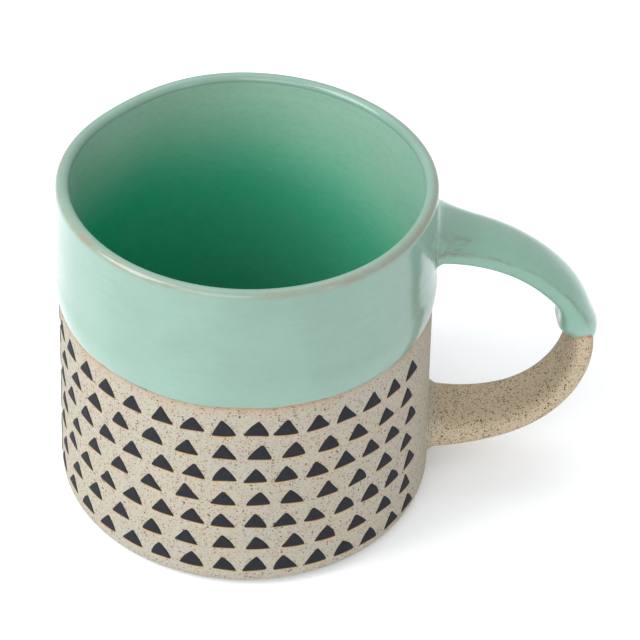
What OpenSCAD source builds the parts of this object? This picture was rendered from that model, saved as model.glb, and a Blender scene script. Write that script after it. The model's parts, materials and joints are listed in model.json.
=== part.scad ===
/* [Cup] */
// Height from the table to the top of the lip
mug_h = 91.5; // [84:0.5:100]
// Outer radius of the clay at the table, before its edge is rounded
base_r = 48.1; // [47.5:0.1:50]
// Outer radius of the clay at the lip
rim_r = 45.1; // [44.8:0.1:46.5]
// Rounding of the outer edge at the base
base_round = 4.3; // [2:0.1:6]
// Inner radius of the glazed cup
cavity_r = 42.2; // [40:0.1:42.4]
// Thickness of the clay floor
floor_t = 6.5; // [4:0.5:10]
// Rounding between the inside wall and the floor
floor_round = 8; // [4:0.5:16]
// Inner radius of the foot ring
foot_inner_r = 36; // [28:1:40]
// Depth of the recess inside the foot ring
foot_recess = 1; // [0.5:0.1:2]

/* [Glaze] */
// Thickness of the glaze on the inside
liner_t = 0.45; // [0.3:0.05:0.7]
// Thickness of the outer glaze just above its lower edge
glaze_t = 0.7; // [0.5:0.05:1]
// Height of the outer glaze's lower edge
glaze_line = 58.3; // [54:0.1:62]
// Height over which the lower edge of the outer glaze rounds off
glaze_roll = 2.4; // [1:0.1:4]

/* [Handle] */
// Width of the strap at its middle
strap_w = 15.5; // [14:0.1:18]
// Thickness of the strap at its middle
strap_t = 6.2; // [5:0.1:8]
// Width of the strap where its upper end meets the cup
upper_root_w = 20.5; // [18:0.1:21]
// Thickness of the strap where its upper end meets the cup
upper_root_t = 5.2; // [5:0.1:9]
// Width of the strap where its lower end meets the cup
lower_root_w = 21.8; // [18:0.1:23]
// Thickness of the strap where its lower end meets the cup
lower_root_t = 10.2; // [7:0.1:12]
// Height at which the strap leaves the cup
strap_z = 73.1; // [72:0.1:74]
// Thickness of the slip layers between the strap and the cup
slip_t = 0.6; // [0.4:0.1:1]
// How far the slip squeezes out round the strap
slip_lap = 1; // [0.5:0.1:1.5]
// Thickness of the glaze on the strap
sleeve_t = 0.55; // [0.4:0.05:0.8]
// Turn of the strap, in degrees, at which its glaze ends
sleeve_turn = 88.5; // [80:0.5:100]
// How much further round the glaze ends at the back, and shorter in front
sleeve_tilt = 11.5; // [0:0.5:15]
// How far the rolled end of the strap's glaze stands out
sleeve_bulge = 0.9; // [0.3:0.1:1.5]

/* [Triangles] */
// Width of a triangle's base
triangle_w = 5.8; // [4:0.1:6.2]
// Height of a triangle
triangle_h = 4.4; // [3:0.1:5]
// How far a triangle stands out of the clay
triangle_t = 0.25; // [0.15:0.05:0.4]
// Height of the lowest row's base line
first_row_z = 5.7; // [5:0.1:7]
// Distance from one row to the next
row_pitch = 7.33; // [6.5:0.01:7.4]
// How far the rows dip towards the handle
row_dip = 0.9; // [0:0.1:1]
// Triangles in an odd row
odd_count = 31; // [24:1:31]
// Triangles in an even row
even_count = 27; // [20:1:27]

/* [Hidden] */
$fn = 96;

row_count = 7;
// Each kind of row: its count, first turn and step in degrees from the handle, and how far
// the spacing opens in front: by how many degrees, at which triangle and over how many
COUNT = 0;
FIRST = 1;
STEP = 2;
DRIFT = 3;
DRIFT_AT = 4;
DRIFT_SPAN = 5;
odd_plan = [odd_count, -32.4, -9.8, 2.6, 8.7, 3.3];
even_plan = [even_count, -34.9, -11, 1.9, 6.8, 2.2];
// The band that a row is cut from reaches this far below and above its base line
band_below = 2;
band_above = 7;
// Depth of the cutter that stands across the band
cutter_t = 8;

// The strap's curve in the XZ plane: [radius, turn] of each arc, from the upper end
strap_arcs = [[44.1, 15.4], [47.9, 33.6], [26, 113.8], [44.1, 32.3]];
// Rings of points along the strap and points round each ring
ring_count = 36;
ring_points = 16;
// Squareness of the strap's section: 2 is an ellipse
section_power = 3.3;
// Share of the outer side's height that the strap's outer face loses towards its edges. It
// fades away between two turns.
strap_crown = 0.4;
crown_from = 55;
crown_to = 100;
// How quickly the strap widens towards its ends
flare_power = 2.5;
// Rings along the strap's glaze, and the turn over which its rolled end swells
sleeve_rings = 24;
roll_turn = 16;
roll_power = 0.8;
// The rounded lower edge of the outer glaze: share of its thickness at a share of its height
edge_steps = [[0.55, 0.25], [0.9, 0.6]];
// The curve starts and ends inside the wall, which trims it
strap_x = 44;

// The lip is a half circle over the wall
lip_r = (rim_r + cavity_r + liner_t) / 2;
clay_lip = (rim_r - cavity_r - liner_t) / 2;
glazed_lip = clay_lip + liner_t;
lip_z = mug_h - glazed_lip;
clay_in_r = cavity_r + liner_t;
wall_slope = (rim_r - base_r) / lip_z;
eps = 0.01;

function wall_r(z) = base_r + wall_slope * z;
function glaze_r(z) = wall_r(z) + liner_t + (glaze_t - liner_t) * (lip_z - z) / (lip_z - glaze_line);

// Sum of the turns of the arcs before arc i
function turned(i) = i == 0 ? 0 : turned(i - 1) + strap_arcs[i - 1][1];
// Start of arc i: a clockwise turn of radius r from heading -a to heading -b
function arc_start(i) = i == 0 ? [strap_x, strap_z] :
  let (r = strap_arcs[i - 1][0], a = turned(i - 1), b = turned(i))
  arc_start(i - 1) + r * [sin(b) - sin(a), cos(b) - cos(a)];
function arc_centre(i) = arc_start(i) - strap_arcs[i][0] * [sin(turned(i)), cos(turned(i))];
strap_turn = turned(len(strap_arcs));

// The arc that a turn falls on, the curve's point there, and its length so far
function arc_at(turn, i = 0) = i == len(strap_arcs) - 1 || turn < turned(i + 1) ? i : arc_at(turn, i + 1);
function strap_point(turn) = let (i = arc_at(turn)) arc_centre(i) + strap_arcs[i][0] * [sin(turn), cos(turn)];
function length_to(turn) = let (i = arc_at(turn), before = i == 0 ? 0 : length_to(turned(i) - eps))
  before + strap_arcs[i][0] * (turn - turned(i)) * PI / 180;

// How far a ring has widened from the middle of the strap, 0, to its upper or lower end, 1
function along(turn) = 2 * length_to(turn) / length_to(strap_turn) - 1;
function flared(turn, middle, upper, lower) =
  middle + ((along(turn) < 0 ? upper : lower) - middle) * pow(abs(along(turn)), flare_power);
function bend(v) = sign(v) * pow(abs(v), 2 / section_power);
// Share of the crown left at a turn, and the height of the section's outline at an angle
function crown_left(turn) =
  let (t = min(1, max(0, (turn - crown_from) / (crown_to - crown_from)))) 1 - t * t * (3 - 2 * t);
function crowned(a, turn) =
  bend(cos(a)) * (cos(a) > 0 ? 1 - strap_crown * crown_left(turn) * pow(bend(sin(a)), 2) : 1);

// A ring of points round the strap at a turn, its section grown by g. The ring leans, so that
// its back edge lies a few degrees further on than its middle.
function strap_ring(turn, g, lean = 0) =
  [for (j = [0 : ring_points - 1])
    let (
      a = 360 * j / ring_points,
      here = turn + lean * sin(a),
      p = strap_point(here),
      out = (flared(here, strap_t, upper_root_t, lower_root_t) / 2 + g) * crowned(a, here),
      across = (flared(here, strap_w, upper_root_w, lower_root_w) / 2 + g) * bend(sin(a))
    )
    [p[0] + out * sin(here), across, p[1] + out * cos(here)]];

// Half profile of the cup's outside, right up to the lip, grown by t
module wall_profile(t = 0) {
  polygon([[0, 0], [wall_r(0) + t, 0], [wall_r(lip_z) + t, lip_z], [0, lip_z]]);
}

// Half profile of a round cavity with a rounded floor, from height z to the lip
module cavity_profile(r, z, round_r) {
  translate([0, z]) square([r - round_r, lip_z - z]);
  translate([0, z + round_r]) square([r, lip_z - z - round_r]);
  translate([r - round_r, z + round_r]) circle(round_r);
}

// Half profile of the cup's outside with its rounded base edge
module outside_profile() {
  corner_r = wall_r(base_round) - base_round;
  square([corner_r, base_round]);
  translate([corner_r, base_round]) circle(base_round);
  intersection() {
    wall_profile();
    translate([0, base_round]) square([base_r, lip_z]);
  }
}

module right_half() {
  intersection() {
    translate([0, -mug_h]) square([2 * base_r, 3 * mug_h]);
    children();
  }
}

module cup_profile() {
  difference() {
    outside_profile();
    cavity_profile(clay_in_r, floor_t, floor_round + liner_t);
    translate([0, -1]) square([foot_inner_r, foot_recess + 1]);
  }
  translate([lip_r, lip_z]) circle(clay_lip);
}

// Cross-section of a slip joint round an end of the strap: x is its thickness, y its width
module slip_section(upper) {
  t = (upper ? upper_root_t : lower_root_t) + 2 * slip_lap;
  w = (upper ? upper_root_w : lower_root_w) + 2 * slip_lap;
  square([t, w - t], center = true);
  for (side = [-1, 1]) translate([0, side * (w - t) / 2]) circle(t / 2);
}

// The first or last arc of the strap's curve, swept with the slip joint's section
module slip_sweep(upper) {
  i = upper ? 0 : len(strap_arcs) - 1;
  centre = arc_centre(i);
  translate([centre[0], 0, centre[1]])
    rotate([90, 0, 0])
      rotate([0, 0, 90 - turned(i + 1)])
        rotate_extrude(angle = strap_arcs[i][1])
          translate([strap_arcs[i][0], 0]) slip_section(upper);
}

// The strap's solid through rings at turns, grown by the widths in grow and leaning by lean
module strap_solid(turns, grow, lean) {
  n = len(turns);
  rings = [for (k = [0 : n - 1]) strap_ring(turns[k], grow[k], lean[k])];
  ends = [for (k = [0, n - 1]) strap_point(turns[k])];
  points = concat([for (ring = rings) each ring], [for (p = ends) [p[0], 0, p[1]]]);
  sides = [for (k = [0 : n - 2], j = [0 : ring_points - 1])
    let (a = k * ring_points + j, b = k * ring_points + (j + 1) % ring_points)
    each [[a, b, b + ring_points], [a, b + ring_points, a + ring_points]]];
  last = (n - 1) * ring_points;
  caps = [for (j = [0 : ring_points - 1])
    let (next = (j + 1) % ring_points)
    each [[next, j, n * ring_points], [last + j, last + next, n * ring_points + 1]]];
  polyhedron(points, concat(sides, caps));
}

// The space that the cup fills, grown by t, which trims the strap's ends
module cup_space(t = 0) {
  rotate_extrude() wall_profile(t);
}

// The slip between the cup's wall and the upper or lower end of the strap
module slip_joint(upper) {
  intersection() {
    rotate_extrude() difference() {
      wall_profile(slip_t);
      wall_profile();
    }
    slip_sweep(upper);
  }
}

// The clay strap with both ends running into the wall
module whole_strap() {
  turns = [for (k = [0 : ring_count]) strap_turn * k / ring_count];
  none = [for (t = turns) 0];
  strap_solid(turns, none, none);
}

module cup_body() {
  color("#c4b8a2") rotate_extrude() right_half() cup_profile();
}

module handle() {
  color("#b9a88c") difference() {
    whole_strap();
    cup_space(slip_t);
  }
}

module upper_slip_joint() {
  color("#a9d0bd") slip_joint(true);
}

module lower_slip_joint() {
  color("#bcae94") slip_joint(false);
}

module inner_glaze() {
  color("#5f9c80") rotate_extrude() difference() {
    cavity_profile(clay_in_r, floor_t, floor_round + liner_t);
    cavity_profile(cavity_r, floor_t + liner_t, floor_round);
    translate([0, lip_z]) square([base_r, 1]);
  }
}

// Half profile of the outer glaze: wall, thick lower edge and the ring over the lip
module outer_glaze_profile() {
  edge_z = glaze_line + glaze_roll;
  polygon([
    [wall_r(glaze_line), glaze_line],
    for (step = edge_steps) [wall_r(glaze_line) + step[0] * glaze_t, glaze_line + step[1] * glaze_roll],
    [glaze_r(edge_z), edge_z],
    [glaze_r(lip_z), lip_z],
    [wall_r(lip_z), lip_z]
  ]);
  intersection() {
    difference() {
      translate([lip_r, lip_z]) circle(glazed_lip);
      translate([lip_r, lip_z]) circle(clay_lip);
    }
    translate([0, lip_z]) square([base_r, glazed_lip + 1]);
  }
}

module outer_glaze() {
  color("#a3c5b4") difference() {
    rotate_extrude() outer_glaze_profile();
    slip_sweep(true);
  }
}

// The glaze sleeve round the strap, with its thick rolled end
module handle_glaze() {
  parts = [for (k = [0 : sleeve_rings]) k / sleeve_rings];
  turns = sleeve_turn * parts;
  grow = [for (t = turns)
    let (roll = max(0, (t - sleeve_turn + roll_turn) / roll_turn))
    sleeve_t + sleeve_bulge * sin(180 * pow(roll, roll_power))];
  color("#97bda9") difference() {
    strap_solid(turns, grow, sleeve_tilt * parts);
    whole_strap();
    cup_space(slip_t);
  }
}

// One triangle's outline, its base line on the X axis
module triangle_outline() {
  polygon([[-triangle_w / 2, 0], [triangle_w / 2, 0], [0, triangle_h]]);
}

// A row of separate triangles, cut from a thin band round the cup
module triangle_row(row) {
  plan = row % 2 == 1 ? odd_plan : even_plan;
  z = first_row_z + (row_count - row) * row_pitch;
  low = z - band_below;
  high = z + band_above;
  color("#2e3038") intersection() {
    rotate_extrude() polygon([
      [wall_r(low), low], [wall_r(low) + triangle_t, low],
      [wall_r(high) + triangle_t, high], [wall_r(high), high]
    ]);
    for (i = [0 : plan[COUNT] - 1]) {
      drift = plan[DRIFT] * exp(-pow((i - plan[DRIFT_AT]) / plan[DRIFT_SPAN], 2));
      turn = plan[FIRST] + i * plan[STEP] + drift;
      rotate([0, 0, turn])
        translate([wall_r(z) - cutter_t / 2, 0, z - row_dip * cos(turn)])
          rotate([90, 0, 90]) linear_extrude(cutter_t) triangle_outline();
    }
  }
}

cup_body();
handle();
upper_slip_joint();
lower_slip_joint();
inner_glaze();
outer_glaze();
handle_glaze();
triangle_row(1);  // triangle_row_1
triangle_row(2);  // triangle_row_2
triangle_row(3);  // triangle_row_3
triangle_row(4);  // triangle_row_4
triangle_row(5);  // triangle_row_5
triangle_row(6);  // triangle_row_6
triangle_row(7);  // triangle_row_7
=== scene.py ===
"""A glazed stoneware mug with a strap handle, on a pale floor in soft studio light.

Shapes are worked out in millimetres and become metres where a mesh is made. Angles round the
cup are in degrees: 0 is the handle and 270 is the front.
"""
import json
import math
import random

import bpy
from mathutils import Matrix, Vector, noise


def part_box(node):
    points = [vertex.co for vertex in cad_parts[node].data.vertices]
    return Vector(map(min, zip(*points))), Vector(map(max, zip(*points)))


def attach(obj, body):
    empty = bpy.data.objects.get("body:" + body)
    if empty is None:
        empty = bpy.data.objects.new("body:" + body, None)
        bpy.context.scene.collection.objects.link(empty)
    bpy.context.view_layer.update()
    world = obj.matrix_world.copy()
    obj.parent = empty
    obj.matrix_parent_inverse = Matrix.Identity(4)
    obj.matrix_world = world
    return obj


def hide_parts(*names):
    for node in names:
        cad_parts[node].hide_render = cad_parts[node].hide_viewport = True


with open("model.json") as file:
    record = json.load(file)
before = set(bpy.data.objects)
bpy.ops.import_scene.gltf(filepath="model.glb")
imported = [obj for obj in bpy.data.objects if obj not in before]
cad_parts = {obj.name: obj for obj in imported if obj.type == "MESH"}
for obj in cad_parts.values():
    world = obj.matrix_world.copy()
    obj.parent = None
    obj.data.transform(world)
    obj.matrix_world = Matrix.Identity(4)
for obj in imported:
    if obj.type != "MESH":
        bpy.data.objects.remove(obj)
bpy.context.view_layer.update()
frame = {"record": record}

MM = 0.001
FULL_TURN = 360
HALF_TURN = 180
QUARTER_TURN = 90


# ---------------------------------------------------------------- sizes, from the frame

def box_mm(node):
    """Lowest and highest corner of a CAD node, in millimetres."""
    low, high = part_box(node)
    return Vector(low) / MM, Vector(high) / MM


def mount_size(name, key):
    """One size of one mount in the record."""
    for mount in frame["record"]["mounts"]:
        if mount["name"] == name:
            return mount["dims"][key]


MUG_H = box_mm("outer_glaze")[1].z          # table to lip
CAVITY_R = mount_size("cavity", "r_mm")     # inside of the liner glaze
GLAZE_LINE = box_mm("outer_glaze")[0].z     # lower edge of the outer glaze
BASE_R = 48.1                               # clay at the table, before rounding
RIM_R = 45.1                                # clay at the lip
BASE_ROUND = 4.3
FOOT_INNER_R = 36
FOOT_RECESS = 1
FOOT_EDGE_R = 0.6                           # rounding of the foot ring's inner edge
FOOT_EDGE_GAP = 0.8                         # how far outside FOOT_INNER_R that rounding is centred
FLOOR_T = 6.5
FLOOR_ROUND = 8
LINER_T = 0.45
CLAY_LIP = (RIM_R - CAVITY_R - LINER_T) / 2
GLAZED_LIP = CLAY_LIP + LINER_T
LIP_R = (RIM_R + CAVITY_R + LINER_T) / 2
LIP_Z = MUG_H - GLAZED_LIP


def smooth(low, high, x):
    """0 below low, 1 above high, with a smooth step between."""
    t = min(1, max(0, (x - low) / (high - low)))
    return t * t * (3 - 2 * t)


def bump(x, centre, width):
    """1 at the centre, falling off to 0 on both sides."""
    return math.exp(-((x - centre) / width) ** 2)


def turn_gap(a, b):
    """Signed angle from b to a, in degrees between -180 and 180."""
    return (a - b + HALF_TURN) % FULL_TURN - HALF_TURN


def mix(a, b, t):
    return a + (b - a) * t


def stops(low, high, steps):
    """Values from low to high, both with them, in equal steps."""
    return [mix(low, high, k / steps) for k in range(steps + 1)]


def unit(a):
    """Cosine and sine of an angle in degrees."""
    return math.cos(math.radians(a)), math.sin(math.radians(a))


def rounded_edge(gap, reach):
    """The share of a coat's thickness that is there at a gap from its edge: a quarter circle."""
    rise = min(1, max(0, gap / reach))
    return math.sqrt(1 - (1 - rise) ** 2)


def soft_noise(x, y, z):
    return noise.noise(Vector((x, y, z)))


def ring_noise(a, pace, level, shift=(0, 0)):
    """Noise from about -1 to 1 that closes up round the cup: a higher pace has more waves."""
    ca, sa = unit(a)
    return soft_noise(ca * pace + shift[0], sa * pace + shift[1], level)


# ---------------------------------------------------------------- the cup's hand-made form

# Where the rim departs from round: angle, amount in mm, half width in degrees
RIM_DENTS = [(132, -0.9, 20), (181, 0.45, 24), (95, 0.2, 20), (0, 0.25, 20), (45, -0.3, 20)]
DENTS_FROM_Z = 35       # the dents fade away below this
SWAY = 0.16             # a slow departure from round over the whole wall
SWAY_FULL_Z = 12
TRUE_R = 20             # within this radius the floor is true
BROAD_RING = 0.03       # depths of the broad and fine throwing rings
FINE_RING = 0.01
RING_CLIMB = 2.5        # how far a throwing ring climbs in one turn
LONG_WAVE = 0.55        # heights of the waves in the outer glaze's lower edge
SHORT_WAVE = 0.35
GLAZE_T = 0.62          # the outer glaze just above its lower edge
EDGE_ROLL = 3.2         # height over which that edge closes
BEAD_T = 0.30           # the bead over the edge: extra thickness, place and half width
BEAD_ABOVE = 5.5
BEAD_WIDTH = 3.2
DRIP_T = 0.10           # unevenness in the coat, with a small step at angle 0 under the handle
DRIP_TOP = 75           # it fades away above this


def wall_r(z):
    """Radius of the clay wall's outside."""
    return BASE_R + (RIM_R - BASE_R) * z / LIP_Z


def hand_shift(a, z):
    """How far the cup's walls stand out of round at an angle and height."""
    dents = sum(amount * bump(turn_gap(a, at), 0, width) for at, amount, width in RIM_DENTS)
    slow = SWAY * ring_noise(a, pace=1.4, level=z * 0.02, shift=(7, 0)) * smooth(0, SWAY_FULL_Z, z)
    return dents * smooth(DENTS_FROM_Z, MUG_H, z) + slow


def throwing_rings(a, z):
    """Faint rings that fingers and ribs left in the wall."""
    climb = z + RING_CLIMB * a / FULL_TURN
    broad = ring_noise(a, pace=0.6, level=climb * 0.42, shift=(0, 3))
    fine = ring_noise(a, pace=1, level=climb * 1.3)
    return BROAD_RING * broad + FINE_RING * fine


def glaze_wave(a):
    """Rise and fall of the outer glaze's lower edge."""
    return LONG_WAVE * ring_noise(a, pace=1.9, level=4.2) + SHORT_WAVE * ring_noise(a, pace=6, level=9.1)


def place(r, a, z):
    """A point of the cup at radius r, angle a and height z, with its hand-made irregularity."""
    out = r + (hand_shift(a, z) + throwing_rings(a, z) if r > TRUE_R else 0)
    ca, sa = unit(a)
    return Vector((out * ca, out * sa, z)) * MM


def glaze_t(z, a):
    """Thickness of the outer glaze: thin at the lip, a bead near its lower edge, then nothing."""
    edge = GLAZE_LINE + glaze_wave(a)
    coat = mix(GLAZE_T, LINER_T, smooth(edge, LIP_Z, z))
    bead = BEAD_T * bump(z, edge + BEAD_ABOVE, BEAD_WIDTH)
    drip = DRIP_T * soft_noise(a * 0.09, z * 0.05, 2.0)
    return rounded_edge(z - edge, EDGE_ROLL) * (coat + bead + drip * (1 - smooth(DRIP_TOP, LIP_Z, z)))


# ---------------------------------------------------------------- mesh helpers

SHARP_ANGLE = 50        # edges sharper than this aren't smoothed over


def new_object(name, points, faces, attributes=None, material=None, body="root"):
    """An object from points in metres, with {name: values} of point attributes."""
    mesh = bpy.data.meshes.new(name)
    mesh.from_pydata(points, [], faces)
    mesh.validate()
    mesh.update()
    for key, values in (attributes or {}).items():
        layer = mesh.attributes.new(key, "FLOAT", "POINT")
        layer.data.foreach_set("value", values)
    mesh.shade_smooth()
    mesh.set_sharp_from_angle(angle=math.radians(SHARP_ANGLE))
    obj = bpy.data.objects.new(name, mesh)
    bpy.context.scene.collection.objects.link(obj)
    if material:
        mesh.materials.append(material)
    if body:
        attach(obj, body)
    return obj


def revolve(name, rows, segments, point, attributes, material):
    """A surface swept round the axis. rows are (r, z) pairs, a closed loop or ended on the axis.

    point(r, a, z) gives a place and attributes is {name: function(r, a, z)}.
    """
    points, faces, marks, index = [], [], [], []
    for r, z in rows:
        if r == 0:
            index.append([len(points)] * segments)
            points.append(point(0, 0, z))
            marks.append((0, 0, z))
            continue
        index.append(list(range(len(points), len(points) + segments)))
        for k in range(segments):
            a = FULL_TURN * k / segments
            points.append(point(r, a, z))
            marks.append((r, a, z))
    closed = rows[0][0] != 0
    for i in range(len(rows) - (0 if closed else 1)):
        low, high = index[i], index[(i + 1) % len(rows)]
        for k in range(segments):
            n = (k + 1) % segments
            corners = [low[k], low[n], high[n], high[k]]
            faces.append([c for j, c in enumerate(corners) if c not in corners[:j]])
    values = {key: [f(*m) for m in marks] for key, f in attributes.items()}
    return new_object(name, points, faces, values, material)


def arc(centre_r, centre_z, radius, start, end, steps):
    """Points (r, z) on a circle from one angle to another, in degrees."""
    angles = [math.radians(turn) for turn in stops(start, end, steps)]
    return [(centre_r + radius * math.cos(t), centre_z + radius * math.sin(t)) for t in angles]


def line(start, end, steps):
    """Points (r, z) between two points, without the first."""
    shares = [k / steps for k in range(1, steps + 1)]
    return [(mix(start[0], end[0], t), mix(start[1], end[1], t)) for t in shares]


def loft(name, rings, attributes, material, close_ends=True):
    """A tube through rings of points, each a list of equal length.

    Its ends are closed by flat faces, or joined to each other when close_ends is false.
    """
    n = len(rings[0])
    points = [p for ring in rings for p in ring]
    faces = []
    for i in range(len(rings) - 1):
        for j in range(n):
            k = (j + 1) % n
            faces.append([i * n + j, i * n + k, (i + 1) * n + k, (i + 1) * n + j])
    last = (len(rings) - 1) * n
    if close_ends:
        faces.append(list(range(n))[::-1])
        faces.append([last + j for j in range(n)])
    else:
        faces += [[last + j, last + (j + 1) % n, (j + 1) % n, j] for j in range(n)]
    return new_object(name, points, faces, attributes, material)


# ---------------------------------------------------------------- materials

MIX_FACTOR, MIX_A, MIX_B, MIX_OUT = 0, 6, 7, 2      # a Mix node's colour sockets
SPECK_WARP = 0.45           # how far specks are pulled out of round, as a share of their cell
SPECK_WARP_PACE = 2.5
SPECK_EDGE = 0.04           # softness of a speck's edge
SPECK_SHIFT = (1, 2.3, 1.7)   # the way one kind's cells are moved off another's


def darker(colour, share):
    return tuple(share * c for c in colour)


class Nodes:
    """A material's node tree, with short names for the nodes that the finishes share."""

    def __init__(self, name):
        self.material = bpy.data.materials.new(name)
        self.material.use_nodes = True
        self.tree = self.material.node_tree
        self.tree.nodes.clear()
        self.output = self.tree.nodes.new("ShaderNodeOutputMaterial")
        self.shader = self.tree.nodes.new("ShaderNodeBsdfPrincipled")
        self.link(self.shader.outputs[0], self.output.inputs[0])
        self.where = self.tree.nodes.new("ShaderNodeTexCoord").outputs["Object"]

    def link(self, source, target):
        """Set a socket from a number, a colour or another node's socket."""
        if isinstance(source, (int, float)):
            target.default_value = source
        elif isinstance(source, (tuple, list)):
            target.default_value = (*source, 1)
        else:
            self.tree.links.new(source, target)

    def math(self, kind, a, b):
        node = self.tree.nodes.new("ShaderNodeMath")
        node.operation = kind
        self.link(a, node.inputs[0])
        self.link(b, node.inputs[1])
        return node.outputs[0]

    def attribute(self, name):
        """A point attribute, which is 0 on a mesh that hasn't got it."""
        node = self.tree.nodes.new("ShaderNodeAttribute")
        node.attribute_name = name
        return node.outputs["Fac"]

    def stretched(self, round_scale, z_scale):
        """Object coordinates scaled alike in x and y, and apart from that in z."""
        node = self.tree.nodes.new("ShaderNodeMapping")
        self.link(self.where, node.inputs["Vector"])
        node.inputs["Scale"].default_value = (round_scale, round_scale, z_scale)
        return node.outputs[0]

    def noise(self, size_mm, detail=3.0, rough=0.5, where=None):
        """Noise from about 0 to 1, with features of about size_mm."""
        node = self.tree.nodes.new("ShaderNodeTexNoise")
        node.noise_dimensions = "4D"
        self.link(where or self.where, node.inputs["Vector"])
        node.inputs["W"].default_value = 0
        node.inputs["Scale"].default_value = 1 / (size_mm * MM)
        node.inputs["Detail"].default_value = detail
        node.inputs["Roughness"].default_value = rough
        return node.outputs["Fac"]

    def ramp(self, value, low, high, to_low=0.0, to_high=1.0):
        """A smooth step from to_low to to_high, while value goes from low to high."""
        node = self.tree.nodes.new("ShaderNodeMapRange")
        node.interpolation_type = "SMOOTHSTEP"
        self.link(value, node.inputs["Value"])
        self.link(low, node.inputs["From Min"])
        self.link(high, node.inputs["From Max"])
        self.link(to_low, node.inputs["To Min"])
        self.link(to_high, node.inputs["To Max"])
        return node.outputs[0]

    def blend(self, factor, a, b, kind="MIX"):
        node = self.tree.nodes.new("ShaderNodeMix")
        node.data_type = "RGBA"
        node.blend_type = kind
        self.link(factor, node.inputs[MIX_FACTOR])
        self.link(a, node.inputs[MIX_A])
        self.link(b, node.inputs[MIX_B])
        return node.outputs[MIX_OUT]

    def stain(self, colour, mask, amount, tint):
        """The colour, taken towards a tint by an amount where the mask is 1."""
        return self.blend(self.math("MULTIPLY", mask, amount), colour, tint)

    def specks(self, cell_mm, share, small, large, shift=0.0):
        """Uneven round specks of small to large mm radius, in a share of cells of cell_mm."""
        wobble = self.tree.nodes.new("ShaderNodeTexNoise")
        self.link(self.where, wobble.inputs["Vector"])
        wobble.inputs["Scale"].default_value = SPECK_WARP_PACE / (cell_mm * MM)
        warp = self.tree.nodes.new("ShaderNodeVectorMath")
        warp.operation = "MULTIPLY_ADD"
        self.link(wobble.outputs["Color"], warp.inputs[0])
        warp.inputs[1].default_value = (SPECK_WARP * cell_mm * MM,) * 3
        self.link(self.where, warp.inputs[2])
        moved = self.tree.nodes.new("ShaderNodeVectorMath")
        self.link(warp.outputs[0], moved.inputs[0])
        moved.inputs[1].default_value = [axis * shift * MM for axis in SPECK_SHIFT]
        cells = self.tree.nodes.new("ShaderNodeTexVoronoi")
        self.link(moved.outputs[0], cells.inputs["Vector"])
        cells.inputs["Scale"].default_value = 1 / (cell_mm * MM)
        part = self.tree.nodes.new("ShaderNodeSeparateColor")
        self.link(cells.outputs["Color"], part.inputs[0])
        size = self.ramp(part.outputs[0], low=0, high=1, to_low=small / cell_mm, to_high=large / cell_mm)
        gap = self.math("SUBTRACT", size, cells.outputs["Distance"])
        spot = self.ramp(gap, low=-SPECK_EDGE, high=SPECK_EDGE)
        chosen = self.math("LESS_THAN", part.outputs[1], share)
        return self.math("MULTIPLY", spot, chosen)

    def bump(self, height, strength, distance_mm, normal=None):
        node = self.tree.nodes.new("ShaderNodeBump")
        node.inputs["Strength"].default_value = strength
        node.inputs["Distance"].default_value = distance_mm * MM
        self.link(height, node.inputs["Height"])
        if normal is not None:
            self.link(normal, node.inputs["Normal"])
        return node.outputs[0]

    def finish(self, colour, rough, normal, **constants):
        """Link the shader's main inputs and set constants, named with _ for a space."""
        self.link(colour, self.shader.inputs["Base Color"])
        self.link(rough, self.shader.inputs["Roughness"])
        self.link(normal, self.shader.inputs["Normal"])
        for key, value in constants.items():
            self.shader.inputs[key.replace("_", " ")].default_value = value
        return self.material


CUP_CLAY = (0.385, 0.357, 0.296)
CUP_CLAY_WARM = (0.41, 0.367, 0.291)
STRAP_CLAY = (0.485, 0.405, 0.288)
STRAP_CLAY_WARM = (0.515, 0.42, 0.293)
STRAP_SPECKS = 1.75                   # how much thicker than on the cup the strap's specks lie
TOASTED = (0.36, 0.19, 0.085)
FINE_SPECK = (0.22, 0.135, 0.065)
BROWN_SPECK = (0.15, 0.085, 0.04)
DARK_SPECK = (0.05, 0.033, 0.02)


def clay_material(name, pale, warm, amount):
    """Bare fired stoneware: a sandy ground with brown and black specks, toasted near the glaze.

    amount says how thick the specks lie: 1 on the cup and more on the strap. The root attribute
    says where the strap's clay passes into the cup's.
    """
    n = Nodes(name)
    cloud = n.ramp(n.noise(size_mm=22), low=0.3, high=0.7)
    grain = n.ramp(n.noise(size_mm=0.5, detail=4, rough=0.7), low=0.3, high=0.7)
    patchy = n.ramp(n.noise(size_mm=1.6), low=0.25, high=0.75, to_low=0.45)
    colour = n.blend(cloud, pale, warm)
    colour = n.blend(n.attribute("root"), colour, CUP_CLAY)
    colour = n.stain(colour, mask=grain, amount=0.4, tint=darker(pale, share=0.66))
    colour = n.stain(colour, mask=n.attribute("toast"), amount=patchy, tint=TOASTED)
    fine = n.specks(cell_mm=0.42, share=min(0.9, 0.62 * amount), small=0.09, large=0.19)
    brown = n.specks(cell_mm=0.62, share=min(0.85, 0.42 * amount), small=0.11, large=0.25, shift=3.0)
    dark = n.specks(cell_mm=0.95, share=0.12 * amount ** 2, small=0.13, large=0.30, shift=8.0)
    colour = n.stain(colour, mask=fine, amount=0.62, tint=FINE_SPECK)
    colour = n.stain(colour, mask=brown, amount=0.8, tint=BROWN_SPECK)
    colour = n.stain(colour, mask=dark, amount=0.9, tint=DARK_SPECK)
    sand = n.math("MULTIPLY", n.noise(size_mm=0.4), 0.6)
    pimples = n.math("MULTIPLY", brown, 0.5)
    rings = n.noise(size_mm=1.1, detail=2, where=n.stretched(round_scale=0.12, z_scale=1))
    normal = n.bump(n.math("ADD", sand, pimples), strength=0.4, distance_mm=0.10)
    normal = n.bump(rings, strength=0.25, distance_mm=0.12, normal=normal)
    rough = n.ramp(grain, low=0, high=1, to_low=0.66, to_high=0.84)
    return n.finish(colour, rough, normal, Specular_IOR_Level=0.2)


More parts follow.
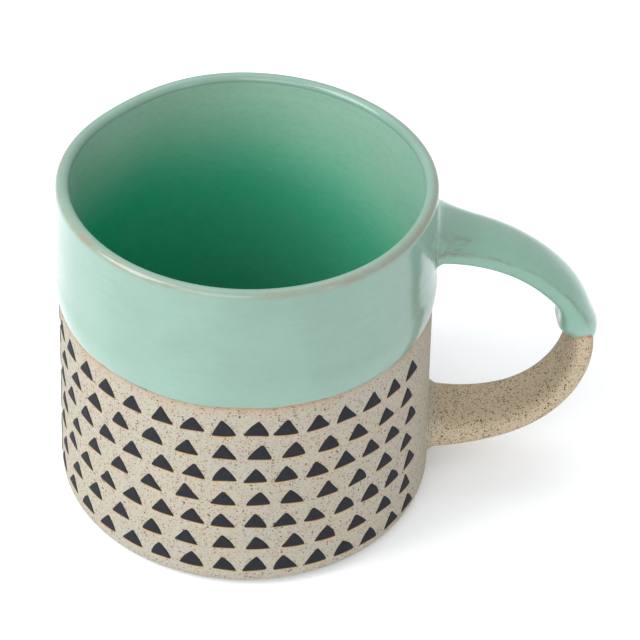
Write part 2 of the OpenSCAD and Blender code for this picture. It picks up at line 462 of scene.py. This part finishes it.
# Each glaze's last colour is the deep green of painted shade. It shows on the liner, darkening it down
# inside the cup.
BODY_GLAZE = dict(thick=(0.213, 0.342, 0.281), mint=(0.183, 0.295, 0.24), thin=(0.25, 0.21, 0.155),
                  deep=(0.006, 0.40, 0.20), coat=0.3, grain=0.25)
STRAP_GLAZE = dict(thick=(0.205, 0.365, 0.29), mint=(0.175, 0.325, 0.25), thin=(0.17, 0.125, 0.095),
                   deep=(0.006, 0.40, 0.20), coat=0.3, grain=0.25)
LINER_GLAZE = dict(thick=(0.30, 0.47, 0.375), mint=(0.28, 0.44, 0.35), thin=(0.27, 0.24, 0.155),
                   deep=(0.003, 0.37, 0.20), coat=0.0, grain=0.6)
GRAIN_SHADE = (0.62, 0.72, 0.68)      # what the glaze is multiplied by in its finest dark grain


def glaze_material(name, thick, mint, thin, deep, coat, grain):
    """Glossy mint glaze: bluish where thick, brownish where it runs thin, with painted shade that turns it
    deep green down inside the cup.

    coat is the weight of a clear coat over it and grain says how much its fine texture shows.
    """
    n = Nodes(name)
    cloud = n.ramp(n.noise(size_mm=16, detail=4), low=0.32, high=0.68)
    brush = n.noise(size_mm=1.6, where=n.stretched(round_scale=0.10, z_scale=1))
    patches = n.noise(size_mm=5, detail=4, rough=0.6)
    pits = n.specks(cell_mm=4.5, share=0.25, small=0.12, large=0.26, shift=5.0)
    texture = n.noise(size_mm=1.1, detail=4, rough=0.7, where=n.stretched(round_scale=0.6, z_scale=1))
    streaks = n.ramp(brush, low=0.35, high=0.75, to_high=0.12)
    # how strongly the painted shade inside the cup shows, a little uneven
    depth = n.ramp(patches, low=0.2, high=0.8, to_low=0.92)
    wear = n.ramp(patches, low=0.25, high=0.75, to_low=0.45)
    grains = n.ramp(texture, low=0.4, high=0.75, to_high=0.5 * grain)
    colour = n.stain(mint, mask=cloud, amount=0.6, tint=thick)
    colour = n.blend(streaks, colour, darker(mint, share=0.8))
    colour = n.blend(n.attribute("pool"), colour, thick)
    # painted shade: the liner turns deep green down in the cup, where it lies in shadow and light bounces
    # between green walls
    colour = n.stain(colour, mask=n.attribute("deep"), amount=depth, tint=deep)
    colour = n.stain(colour, mask=n.attribute("thin"), amount=wear, tint=thin)
    colour = n.stain(colour, mask=pits, amount=0.4, tint=darker(thin, share=0.6))
    colour = n.blend(grains, colour, GRAIN_SHADE, kind="MULTIPLY")
    height = n.math("ADD", n.math("MULTIPLY", brush, 0.5), n.noise(size_mm=7, detail=2))
    normal = n.bump(height, strength=0.16, distance_mm=0.07)
    normal = n.bump(texture, strength=0.5 * grain, distance_mm=0.06, normal=normal)
    rough = n.ramp(n.noise(size_mm=6), low=0.2, high=0.8, to_low=0.15, to_high=0.25)
    return n.finish(colour, rough, normal, Coat_Weight=coat, Coat_Roughness=0.05, IOR=1.42)


SLIP_DARK = (0.011, 0.0125, 0.016)
SLIP_PALE = (0.021, 0.0225, 0.027)
# the warm orange colour along each triangle's lower edge
SLIP_EDGE_WARM = (0.62, 0.37, 0.13)


def slip_material():
    """Matt charcoal slip, with a warm orange line along the lower edge of each triangle."""
    n = Nodes("dark_slip")
    mottled = n.ramp(n.noise(size_mm=1.2, detail=4, rough=0.6), low=0.3, high=0.7)
    colour = n.blend(mottled, SLIP_DARK, SLIP_PALE)
    colour = n.blend(n.attribute("bleed"), colour, SLIP_EDGE_WARM)
    normal = n.bump(n.noise(size_mm=0.4), strength=0.3, distance_mm=0.06)
    rough = n.ramp(mottled, low=0, high=1, to_low=0.6, to_high=0.78)
    return n.finish(colour, rough, normal, Specular_IOR_Level=0.12)


# ---------------------------------------------------------------- the cup

CUP_SEGMENTS = 288
DENSE_TO = 3            # the clay's wall has close rows up to this far above the glaze's edge
HIDDEN_R = 30           # clay within this radius is never toasted
LIP_START = 10          # angle at which the clay lip's arc starts and, mirrored, ends
SKIN = 0.06             # how far a coat's hidden side sinks into what it covers


def toast_near_glaze(r, a, z):
    """Where the bare clay is toasted: a line just under the glaze."""
    if r < HIDDEN_R:
        return 0.0
    gap = GLAZE_LINE + glaze_wave(a) - z
    return 0.85 * bump(gap, centre=0.1, width=0.6) + 0.25 * bump(gap, centre=0.6, width=1.9)


def make_cup(clay):
    """The clay cup: one closed solid with its foot, wall, lip and floor."""
    corner_r = wall_r(BASE_ROUND) - BASE_ROUND
    recess_r = FOOT_INNER_R - FOOT_RECESS
    edge_r = FOOT_INNER_R + FOOT_EDGE_GAP
    clay_in_r = CAVITY_R + LINER_T
    inner_round = FLOOR_ROUND + LINER_T
    bend_z = FLOOR_T + inner_round
    dense_z = GLAZE_LINE + DENSE_TO
    rows = [(0, FOOT_RECESS)]
    rows += line((0, FOOT_RECESS), (recess_r, FOOT_RECESS), steps=8)
    rows += arc(recess_r, 0, FOOT_RECESS, start=70, end=20, steps=4)
    rows += arc(edge_r, FOOT_EDGE_R, FOOT_EDGE_R, start=200, end=270, steps=4)
    rows += line((edge_r, 0), (corner_r, 0), steps=6)[:-1]
    rows += arc(corner_r, BASE_ROUND, BASE_ROUND, start=-QUARTER_TURN, end=0, steps=16)
    rows += line((wall_r(BASE_ROUND), BASE_ROUND), (wall_r(dense_z), dense_z), steps=150)
    rows += line((wall_r(dense_z), dense_z), (wall_r(LIP_Z), LIP_Z), steps=24)
    rows += arc(LIP_R, LIP_Z, CLAY_LIP, start=LIP_START, end=HALF_TURN - LIP_START, steps=12)
    rows += line((clay_in_r, LIP_Z), (clay_in_r, bend_z), steps=30)
    rows += arc(clay_in_r - inner_round, bend_z, inner_round, start=0, end=-QUARTER_TURN, steps=10)[1:]
    rows += line((clay_in_r - inner_round, FLOOR_T), (0, FLOOR_T), steps=6)
    cup = revolve("clay_cup", rows, CUP_SEGMENTS, place, {"toast": toast_near_glaze}, clay)
    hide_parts("cup_body")


WORN_BELOW = 0.55       # the lip's wear is centred this far below its top
WORN_AT = [(222, 32), (325, 42)]       # angle and half width where it is most worn
WEAR_LIMITS = (0.12, 0.9)
POOL = 0.45             # how far the bead takes the thick glaze's colour
POOL_SIZE = 3.5         # how far above the glaze's edge the pool is centred, and its half width


def lip_wear(r, a, z):
    """Where the glaze runs thin: the lip's outer shoulder, in uneven patches."""
    crest = bump(z, MUG_H - WORN_BELOW, width=0.95) * smooth(LIP_R - 0.3, LIP_R + 0.7, r)
    patches = 0.45 * ring_noise(a, pace=3, level=1.0)
    flecks = 0.5 * ring_noise(a, pace=22, level=3.0 + z * 0.7)
    sides = 0.38 * max(bump(turn_gap(a, at), 0, width) for at, width in WORN_AT)
    least, most = WEAR_LIMITS
    return crest * min(most, max(least, 0.36 + sides + patches + flecks))


def bead_pool(r, a, z):
    """Where the outer glaze gathers: the bead above its lower edge."""
    if r <= LIP_R:
        return 0.0
    return POOL * bump(z, GLAZE_LINE + glaze_wave(a) + POOL_SIZE, POOL_SIZE)


def liner_painted_shade(r, a, z):
    """Painted shade in the liner: darker green towards the floor, and more on the side away from the
    handle, where less light falls.
    """
    if r > LIP_R:
        return 0.0
    right = math.cos(math.radians(a + 10))
    rear = math.sin(math.radians(a))
    lap = 3 * ring_noise(a, pace=2, level=6.0)
    most_shade = 0.85 - 0.1 * right
    full_z = 45 - 11 * right + 8 * rear + lap
    none_z = LIP_Z + 3 * rear + lap
    return most_shade * (1 - smooth(full_z, none_z, z))


# thin and pool are the glaze's own colour; the third mark is painted shade inside the cup
GLAZE_MARKS = {"thin": lip_wear, "pool": bead_pool, "deep": liner_painted_shade}
COAT_START = 0.6        # the outer coat's mesh starts this far below its edge
ROLL_TOP = 4            # its rows are close up to this far above the edge
OUTER_MARK = 1          # extra radius that marks the rows whose radius comes from the thickness


def make_outer_glaze(glaze):
    """The glaze outside and over the lip, one closed skin with its rolled lower edge."""
    low = GLAZE_LINE - COAT_START
    roll_z = GLAZE_LINE + ROLL_TOP
    heights = stops(low, roll_z, steps=30) + stops(roll_z, LIP_Z, steps=60)[1:]
    rows = [(wall_r(z) + OUTER_MARK, z) for z in heights]
    rows += arc(LIP_R, LIP_Z, GLAZED_LIP, start=0, end=HALF_TURN, steps=24)[1:]
    rows += arc(LIP_R, LIP_Z, CLAY_LIP - SKIN, start=HALF_TURN, end=0, steps=16)
    rows += line((wall_r(LIP_Z) - SKIN, LIP_Z), (wall_r(low) - SKIN, low), steps=40)

    def point(r, a, z):
        if r > wall_r(z) + OUTER_MARK / 2 and z <= LIP_Z:
            r = wall_r(z) - SKIN + max(0, glaze_t(z, a) + SKIN)
        return place(r, a, z)

    coat = revolve("outer_glaze_coat", rows, CUP_SEGMENTS, point, GLAZE_MARKS, glaze)
    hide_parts("outer_glaze")


def make_liner(glaze):
    """The glaze inside the cup, from the lip's inner side down to the floor."""
    floor_z = FLOOR_T + LINER_T
    under_z = FLOOR_T - SKIN
    bend_z = floor_z + FLOOR_ROUND
    bend_r = CAVITY_R - FLOOR_ROUND
    outer_r = CAVITY_R + LINER_T + SKIN
    outer_round = FLOOR_ROUND + LINER_T + SKIN
    rows = [(0, floor_z)]
    rows += line((0, floor_z), (bend_r, floor_z), steps=30)[:-1]
    rows += arc(bend_r, bend_z, FLOOR_ROUND, start=-QUARTER_TURN, end=0, steps=20)
    rows += line((CAVITY_R, bend_z), (CAVITY_R, LIP_Z), steps=110)
    rows += [(outer_r, LIP_Z)]
    rows += line((outer_r, LIP_Z), (outer_r, bend_z), steps=20)
    rows += arc(bend_r, bend_z, outer_round, start=0, end=-QUARTER_TURN, steps=8)[1:]
    rows += line((bend_r, under_z), (0, under_z), steps=6)
    coat = revolve("liner_coat", rows, CUP_SEGMENTS, place, GLAZE_MARKS, glaze)
    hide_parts("inner_glaze")


# ---------------------------------------------------------------- the strap handle

# The strap's curve in the XZ plane: [radius, turn] of each arc, clockwise from the upper end
STRAP_ARCS = [(44.1, 15.4), (47.9, 33.6), (26, 113.8), (44.1, 32.3)]
STRAP_START = (44, 73.1)
STRAP_TURN = sum(turn for _, turn in STRAP_ARCS)
STRAP_LENGTH = sum(math.radians(turn) * r for r, turn in STRAP_ARCS)
STRAP_W = (20.5, 15.5, 21.8)     # width at the upper end, in the middle and at the lower end
STRAP_T = (5.2, 6.2, 10.2)
FLARE_POWER = 2.5                # how late the strap flares towards its ends
SECTION_POWER = 3.3              # 2 would be an ellipse; more is squarer
STRAP_CROWN = 0.4                # share of its height that the outer face loses towards its edges
CROWN_FADE = (55, 100)           # turns between which that crown fades away
STRAP_WOBBLE = 0.10
STRAP_SIDES = 80
STRAP_STEPS = 150


def strap_curve(turn):
    """The curve's point after a turn from the upper end, and its length so far."""
    x, z = STRAP_START
    done, length = 0, 0
    for i, (radius, part) in enumerate(STRAP_ARCS):
        last = i == len(STRAP_ARCS) - 1
        step = turn - done if last else min(part, turn - done)
        a, b = math.radians(done), math.radians(done + step)
        x += radius * (math.sin(b) - math.sin(a))
        z += radius * (math.cos(b) - math.cos(a))
        length += radius * (b - a)
        done += part
        if turn <= done:
            break
    return x, z, length


def bend(value):
    """A cosine or sine, bent from an ellipse's towards a rounded rectangle's."""
    return math.copysign(abs(value) ** (2 / SECTION_POWER), value)


def flared(along, sizes):
    """A size at a place along the strap, which is -1 at its upper end and 1 at its lower end."""
    upper, middle, lower = sizes
    return mix(middle, upper if along < 0 else lower, abs(along) ** FLARE_POWER)


def strap_point(turn, side, grow=0.0):
    """A point on the strap: side is an angle round its section, 0 outwards and 90 to the back."""
    x, z, length = strap_curve(turn)
    along = 2 * length / STRAP_LENGTH - 1
    t = math.radians(turn)
    ca, sa = unit(side)
    wobble = STRAP_WOBBLE * soft_noise(length * 0.06, ca, sa)
    crown = 1 - STRAP_CROWN * (1 - smooth(*CROWN_FADE, turn)) * bend(sa) ** 2 if ca > 0 else 1
    out = (flared(along, STRAP_T) / 2 + grow + wobble) * bend(ca) * crown
    across = (flared(along, STRAP_W) / 2 + grow + wobble) * bend(sa)
    return Vector((x + out * math.sin(t), across, z + out * math.cos(t)))


def strap_sides():
    return [FULL_TURN * j / STRAP_SIDES for j in range(STRAP_SIDES)]


def inner_share(side):
    """0 on the strap's outer face and 1 on its inner face."""
    return 0.5 - 0.5 * math.cos(math.radians(side))


SLEEVE_TURN = 88.5      # turn at which the strap's glaze ends, at the middle of its faces
SLEEVE_TILT = 11.5      # how much further round it ends on the back edge
SLEEVE_WAVER = 1.6
SLEEVE_T = 0.5
SLEEVE_ROLL = 6         # turn over which its edge closes
# The thick roll near its end, on the outer and inner face: thickness, turn back from the end
# and half width
ROLL_T = (0.75, 2.2)
ROLL_BACK = (10, 14)
ROLL_WIDTH = (6.5, 9)
TURN_MM = 0.45          # length of a degree of the strap's turn, near the sleeve's end
SLEEVE_STEPS = 110
SLEEVE_UNDER = 0.05     # the coat's underside lies this much deeper than the usual skin
NEAR_RIDGE = 292        # sides where the strap's front and back ridges are
BACK_RIDGE = 60
WEAR_FADE = (66, 80)    # turns between which the wear on the ridges fades away


def sleeve_end(side):
    """The turn at which the strap's glaze ends: further round on the back edge."""
    ca, sa = unit(side)
    return SLEEVE_TURN + SLEEVE_TILT * sa + SLEEVE_WAVER * soft_noise(sa * 1.5, ca * 1.5, 1)


def sleeve_t(turn, side):
    """Thickness of the strap's glaze, with its rolled end."""
    end = sleeve_end(side)
    inner = inner_share(side)
    roll = mix(*ROLL_T, inner) * bump(turn, end - mix(*ROLL_BACK, inner), mix(*ROLL_WIDTH, inner))
    return rounded_edge(end - turn, SLEEVE_ROLL) * (SLEEVE_T + roll)


def sleeve_wear(turn, side):
    """Brown streaks along the strap's ridges, most at the root of the near one."""
    from_near, from_back = turn_gap(side, NEAR_RIDGE), turn_gap(side, BACK_RIDGE)
    ridge = max(bump(from_near, centre=0, width=9), bump(from_back, centre=0, width=8))
    patch = smooth(low=-0.4, high=0.25, x=soft_noise(turn * 0.13, side * 0.03, 3))
    streak = 0.5 + 0.8 * soft_noise(turn * 0.5, side * 0.2, 8)
    root = bump(from_near, centre=0, width=16) * bump(turn, centre=0, width=10)
    worn = ridge * patch * streak * (1 - smooth(*WEAR_FADE, turn))
    return max(0, min(1, 0.95 * worn + 0.8 * root * (0.4 + streak)))


def strap_toast(turn, side):
    """Where the strap's clay is toasted: a line just beyond its glaze."""
    gap = (turn - sleeve_end(side)) * TURN_MM
    return 0.7 * bump(gap, centre=0, width=0.5) + 0.2 * bump(gap, centre=0.6, width=1.6)


def make_strap(clay):
    """The clay strap, one closed solid with both ends let into the wall."""
    turns = [STRAP_TURN * k / STRAP_STEPS for k in range(STRAP_STEPS + 1)]
    rings = [[strap_point(t, s) * MM for s in strap_sides()] for t in turns]
    toast = [strap_toast(t, s) for t in turns for s in strap_sides()]
    strap = loft("clay_strap", rings, {"toast": toast}, clay)
    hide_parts("handle")


def make_sleeve(glaze):
    """The glaze on the strap's upper half, a closed skin with its thick rolled end."""
    outer, inner, thin, pool = [], [], [], []
    for k in range(SLEEVE_STEPS + 1):
        turns = [(sleeve_end(side) + 1) * k / SLEEVE_STEPS for side in strap_sides()]
        places = list(zip(turns, strap_sides()))
        lifts = [max(-SKIN, sleeve_t(turn, side) - SKIN / 2) for turn, side in places]
        outer.append([strap_point(turn, side, lift) * MM for (turn, side), lift in zip(places, lifts)])
        inner.append([strap_point(turn, side, -SKIN - SLEEVE_UNDER) * MM for turn, side in places])
        thin += [sleeve_wear(turn, side) for turn, side in places]
        pool += [0.5 * bump(turn, sleeve_end(side) - 7, width=8) for turn, side in places]
    hidden = [0.0] * len(thin)
    marks = {"thin": thin + hidden, "pool": pool + hidden}
    sleeve = loft("strap_glaze_coat", outer + inner[::-1], marks, glaze, close_ends=False)
    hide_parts("handle_glaze")


# ---------------------------------------------------------------- the joints

JOINT_STEPS = 16
JOINT_SINK = 0.07       # how far a fillet's two edges sink into the strap and the wall
JOINT_INSIDE = 0.5      # depth of the joint's hidden start inside the strap's surface
JOINT_IN_WALL = 0.6     # depth of its hidden end inside the wall
HALVINGS = 30
UPPER_SEARCH = (-12, 60)                               # turns inside the wall and clear of it
LOWER_SEARCH = (STRAP_TURN + 14, STRAP_TURN - 60)
TOP_SIDE = 35           # the side where the upper fillet is widest
TOP_POWER = 1.5
UPPER_REACH = (2.4, 13)         # least and most reach along the strap and height up the wall
UPPER_HEIGHT = (2.2, 6.2)
LOWER_REACH = (1.8, 5.5)
LOWER_HEIGHT = (1.6, 4.4)
SECOND_PATCH_SIDE = 335         # a side with a second, smaller dark patch at the upper root
JOINT_POOL = 0.15


def wall_gap(point, cover):
    """Distance from a point to the cup's wall, with its glaze if that covers it."""
    a = math.degrees(math.atan2(point.y, point.x)) % FULL_TURN
    skin = glaze_t(point.z, a) if cover else 0
    return math.hypot(point.x, point.y) - wall_r(point.z) - hand_shift(a, point.z) - skin


def at_wall(side, grow, clearance, upper):
    """The point where a line along the strap's side comes within a clearance of the wall."""
    near, far = UPPER_SEARCH if upper else LOWER_SEARCH
    for _ in range(HALVINGS):
        middle = (near + far) / 2
        if wall_gap(strap_point(middle, side, grow), upper) < clearance:
            near = middle
        else:
            far = middle
    return strap_point(far, side, grow)


def root_brown_patches(ring, step, side):
    """Dark patches in the glaze where the strap's near ridge meets the wall."""
    main_patch = bump(turn_gap(side, NEAR_RIDGE), centre=0, width=22)
    top_patch = 0.5 * bump(turn_gap(side, SECOND_PATCH_SIDE), centre=0, width=12)
    uneven = smooth(low=-0.5, high=0.3, x=soft_noise(ring * 0.35, step * 0.5, 5))
    return (main_patch + top_patch) * uneven


def make_joint(name, node, material, upper, cover, fillet):
    """The fillet where one end of the strap, under a cover of glaze or none, runs into the wall.

    fillet(side) gives its reach along the strap and its height up the wall.
    """
    sides = strap_sides()
    rings = [[at_wall(s, cover - JOINT_INSIDE, fillet(s)[0], upper) * MM for s in sides]]
    for turn in stops(0, QUARTER_TURN, JOINT_STEPS):
        along, up = 1 - math.sin(math.radians(turn)), 1 - math.cos(math.radians(turn))
        ring = []
        for side in sides:
            reach, height = fillet(side)
            grow = cover + height * up - JOINT_SINK
            ring.append(at_wall(side, grow, reach * along - JOINT_SINK, upper) * MM)
        rings.append(ring)
    rings.append([at_wall(s, cover + fillet(s)[1] / 2, -JOINT_IN_WALL, upper) * MM for s in sides])
    if upper:
        # brown patches in the glaze at the strap's near root, where it meets the wall
        root_patches = [root_brown_patches(i, j, side) for i in range(len(rings)) for j, side in enumerate(sides)]
        marks = {"thin": root_patches, "pool": [JOINT_POOL] * len(root_patches)}
    else:
        marks = {"root": [min(1, i / JOINT_STEPS) for i in range(len(rings)) for _ in sides]}
    joint = loft(name, rings, marks, material, close_ends=False)
    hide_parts(node)


def upper_fillet(side):
    """Reach and height of the upper fillet: wide over the top of the strap, tight below it."""
    top = (0.5 + 0.5 * math.cos(math.radians(side - TOP_SIDE))) ** TOP_POWER
    return mix(*UPPER_REACH, top), mix(*UPPER_HEIGHT, top)


def lower_fillet(side):
    """Reach and height of the lower fillet: wider on the strap's inner face."""
    return mix(*LOWER_REACH, inner_share(side)), mix(*LOWER_HEIGHT, inner_share(side))


# ---------------------------------------------------------------- the triangles

ROWS = 7
FIRST_ROW_Z = 5.7
ROW_PITCH = 7.33
ROW_DIP = 0.9
ROW_SEED = 100
# The spacing opens a little in front: by drift degrees, at triangle at and over a span of them
ODD = dict(count=31, first=-32.4, step=-9.8, drift=2.6, at=8.7, span=3.3)
EVEN = dict(count=27, first=-34.9, step=-11, drift=1.9, at=6.8, span=2.2)
TURN_WANDER = (-0.35, 0.35)
RISE_WANDER = (-0.2, 0.2)

TRIANGLE_W = (5.7, 6.4)
TRIANGLE_H = (4.3, 4.85)
TRIANGLE_LEAN = (-0.7, 0.7)
TRIANGLE_TILT = (-0.25, 0.25)
CORNER_ROUNDS = [(0.25, 0.5), (0.25, 0.55), (0.45, 0.85)]      # left, right and top
SIDE_BOWS = [(-0.12, 0.15), (-0.1, 0.28), (-0.1, 0.28)]        # base, right and left
CORNER_REACH = 1.6      # how far along the sides a corner's rounding starts, in its own size
CORNER_STEPS = 6
SIDE_STEPS = 8

# A pad's rings: scale of the outline and lift off the wall, from its warm-edged rim to its top
PAD_RIM = [(1.06, -0.06), (1.04, 0.03)]
PAD_FACE = [(1.0, 0.06), (0.97, 0.12), (0.9, 0.16), (0.6, 0.17), (0.3, 0.18)]
PAD_TOP = 0.18
PAD_UNDER = -0.2
EDGE_WARM_DROP = 0.38       # how far the rim spreads below the triangle's lower edge
EDGE_WARM_LOW = 0.85        # strength of the rim's warm colour: at the lower edge, and all round
EDGE_WARM_ROUND = 0.1


def triangle_outline(rng):
    """An outline, counter-clockwise: three rounded corners joined by slightly bowed sides."""
    w, h = rng.uniform(*TRIANGLE_W), rng.uniform(*TRIANGLE_H)
    lean = rng.uniform(*TRIANGLE_LEAN)
    tilt = rng.uniform(*TRIANGLE_TILT)
    corners = [Vector((-w / 2, -tilt)), Vector((w / 2, tilt)), Vector((lean, h))]
    rounds = [rng.uniform(*limits) for limits in CORNER_ROUNDS]
    bows = [rng.uniform(*limits) for limits in SIDE_BOWS]
    points = []
    for i, here in enumerate(corners):
        next_i = (i + 1) % len(corners)
        ahead, behind = corners[next_i], corners[i - 1]
        enter = here + (behind - here).normalized() * rounds[i] * CORNER_REACH
        leave = here + (ahead - here).normalized() * rounds[i] * CORNER_REACH
        for s in stops(0, 1, CORNER_STEPS):
            points.append(enter * (1 - s) ** 2 + here * 2 * s * (1 - s) + leave * s * s)
        goal = ahead + (here - ahead).normalized() * rounds[next_i] * CORNER_REACH
        out = Vector((ahead.y - here.y, here.x - ahead.x)).normalized()
        for s in stops(0, 1, SIDE_STEPS)[1:-1]:
            points.append(leave.lerp(goal, s) + out * bows[i] * 4 * s * (1 - s))
    return points


def pad_place(turn, z0, flat, lift):
    """A point of a flat outline laid on the wall, x along the wall and y up it."""
    z = z0 + flat.y
    a = (turn + math.degrees(flat.x / wall_r(z))) % FULL_TURN
    return place(wall_r(z) + lift, a, z)


def add_pad(points, faces, bleed, turn, z0, outline):
    """One triangle: a thin closed pad of slip on the wall at a turn and a height."""
    centre = sum(outline, Vector((0, 0))) / len(outline)
    rings = PAD_RIM + PAD_FACE
    start, n = len(points), len(outline)
    for i, (scale, lift) in enumerate(rings):
        on_rim = i < len(PAD_RIM)
        for p in outline:
            lower = 1 - smooth(-0.1, 0.5, p.y)
            q = centre + (p - centre) * scale
            q.y -= EDGE_WARM_DROP * lower if on_rim else 0
            points.append(pad_place(turn, z0, q, lift))
            bleed.append(EDGE_WARM_LOW * lower + EDGE_WARM_ROUND if on_rim else 0.0)
    top = len(points)
    under = top + 1
    points += [pad_place(turn, z0, centre, PAD_TOP), pad_place(turn, z0, centre, PAD_UNDER)]
    bleed += [0.0, 0.0]
    last = start + (len(rings) - 1) * n
    for ring in range(start, last, n):
        for j in range(n):
            k = (j + 1) % n
            faces.append([ring + j, ring + k, ring + n + k, ring + n + j])
    for j in range(n):
        k = (j + 1) % n
        faces.append([last + j, last + k, top])
        faces.append([start + k, start + j, under])


def make_row(row, slip):
    """One row of separate triangles. Row 1 is the top one."""
    rng = random.Random(ROW_SEED + row)
    plan = ODD if row % 2 else EVEN
    base_z = FIRST_ROW_Z + (ROWS - row) * ROW_PITCH
    points, faces, bleed = [], [], []
    for i in range(plan["count"]):
        drift = plan["drift"] * bump(i, plan["at"], plan["span"])
        turn = plan["first"] + i * plan["step"] + drift + rng.uniform(*TURN_WANDER)
        z0 = base_z - ROW_DIP * math.cos(math.radians(turn)) + rng.uniform(*RISE_WANDER)
        add_pad(points, faces, bleed, turn, z0, triangle_outline(rng))
    pads = new_object(f"triangles_row_{row}", points, faces, {"bleed": bleed}, slip)
    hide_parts(f"triangle_row_{row}")


# ---------------------------------------------------------------- the scene round the mug

FLOOR_HALF = 9.0        # metres
FLOOR_DIM = (0.943, 0.957, 0.98)
FLOOR_PALE = (0.953, 0.967, 0.99)
FLOOR_GLOW = (0.88, 0.96, 1.0, 1)      # a faint glow keeps the floor's shadows pale
FLOOR_GLOW_STRENGTH = 0.075

LAMP_TARGET = (0, 0, 0.05)
LAMPS = [
    dict(name="left_softbox", at=(-0.85, -0.20, 0.80), size=(0.6, 0.8), power=10.5, colour=(0.95, 0.99, 1)),
    dict(name="right_window", at=(0.75, -0.85, 0.35), size=(0.22, 0.6), power=0.75, colour=(1, 1, 1)),
    dict(name="front_fill", at=(-0.45, -1.2, 0.85), size=(1.0, 0.9), power=7.2, colour=(1, 1, 1)),
    dict(name="top_softbox", at=(-0.1, 0.45, 1.1), size=(1.0, 0.7), power=2, colour=(1, 1, 1)),
]
SKY_COLOUR = (1, 1, 1, 1)
SKY_STRENGTH = 0.82

CAMERA_ELEVATION = 39.74
CAMERA_ROLL = 2.27
CAMERA_AZIMUTH = -5.4
CAMERA_TARGET = (0.01849, 0, 0.04745)
CAMERA_DISTANCE = 0.5529
FOCAL_PX = 2195.4       # focal length in the pixels of a picture this wide
PICTURE_PX = 640
SENSOR_MM = 36
NEAR_CLIP = 0.01


def make_floor():
    """A wide pale floor with a touch of tone in it."""
    n = Nodes("studio_floor")
    tone = n.ramp(n.noise(size_mm=180, detail=2), low=0.3, high=0.7)
    colour = n.blend(tone, FLOOR_DIM, FLOOR_PALE)
    normal = n.bump(n.noise(size_mm=3, detail=2), strength=0.05, distance_mm=0.05)
    material = n.finish(colour, 0.6, normal, Specular_IOR_Level=0.2,
                        Emission_Color=FLOOR_GLOW, Emission_Strength=FLOOR_GLOW_STRENGTH)
    corners = [(x * FLOOR_HALF, y * FLOOR_HALF, 0) for x, y in ((-1, -1), (1, -1), (1, 1), (-1, 1))]
    new_object("studio_floor", corners, [[0, 1, 2, 3]], None, material, body=None)


def add_light(name, at, size, power, colour):
    """A soft rectangular lamp that faces the mug."""
    data = bpy.data.lights.new(name, "AREA")
    data.shape = "RECTANGLE"
    data.size, data.size_y = size
    data.energy = power
    data.color = colour
    lamp = bpy.data.objects.new(name, data)
    lamp.location = at
    lamp.rotation_euler = (Vector(LAMP_TARGET) - Vector(at)).to_track_quat("-Z", "Y").to_euler()
    bpy.context.scene.collection.objects.link(lamp)


def make_lights():
    """The lamps, and an even pale sky round them."""
    for lamp in LAMPS:
        add_light(**lamp)
    world = bpy.data.worlds.new("studio")
    world.use_nodes = True
    sky = world.node_tree.nodes["Background"]
    sky.inputs["Color"].default_value = SKY_COLOUR
    sky.inputs["Strength"].default_value = SKY_STRENGTH
    bpy.context.scene.world = world


def make_camera():
    """Looks down at the mug from the front, rolled a little, as a hand-held camera is."""
    elevation, roll = math.radians(CAMERA_ELEVATION), math.radians(CAMERA_ROLL)
    orbit = Matrix.Rotation(math.radians(CAMERA_AZIMUTH), 3, "Z")
    target = orbit @ Vector(CAMERA_TARGET)
    back = orbit @ Vector((0, -math.cos(elevation), math.sin(elevation)))
    level = orbit @ Vector((1, 0, 0))
    up = orbit @ Vector((0, math.sin(elevation), math.cos(elevation)))
    right = math.cos(roll) * level + math.sin(roll) * up
    rolled_up = math.cos(roll) * up - math.sin(roll) * level
    data = bpy.data.cameras.new("camera")
    data.sensor_width = SENSOR_MM
    data.lens = FOCAL_PX * SENSOR_MM / PICTURE_PX
    data.clip_start = NEAR_CLIP
    camera = bpy.data.objects.new("camera", data)
    place_at = Matrix((right, rolled_up, back)).transposed().to_4x4()
    place_at.translation = target + back * CAMERA_DISTANCE
    camera.matrix_world = place_at
    bpy.context.scene.collection.objects.link(camera)
    bpy.context.scene.camera = camera


def main():
    make_camera()
    clay = clay_material("speckled_clay", CUP_CLAY, CUP_CLAY_WARM, amount=1)
    strap_clay = clay_material("strap_clay", STRAP_CLAY, STRAP_CLAY_WARM, amount=STRAP_SPECKS)
    glaze = glaze_material("mint_glaze", **BODY_GLAZE)
    strap_glaze = glaze_material("strap_glaze", **STRAP_GLAZE)
    liner = glaze_material("liner_glaze", **LINER_GLAZE)
    slip = slip_material()
    make_cup(clay)
    make_outer_glaze(glaze)
    make_liner(liner)
    make_strap(strap_clay)
    make_sleeve(strap_glaze)
    make_joint("upper_joint", "upper_slip_joint", strap_glaze,
               upper=True, cover=SLEEVE_T, fillet=upper_fillet)
    make_joint("lower_joint", "lower_slip_joint", strap_clay,
               upper=False, cover=0, fillet=lower_fillet)
    for row in range(1, ROWS + 1):
        make_row(row, slip)
    make_floor()
    make_lights()
    bpy.context.scene.view_settings.view_transform = "Standard"


main()
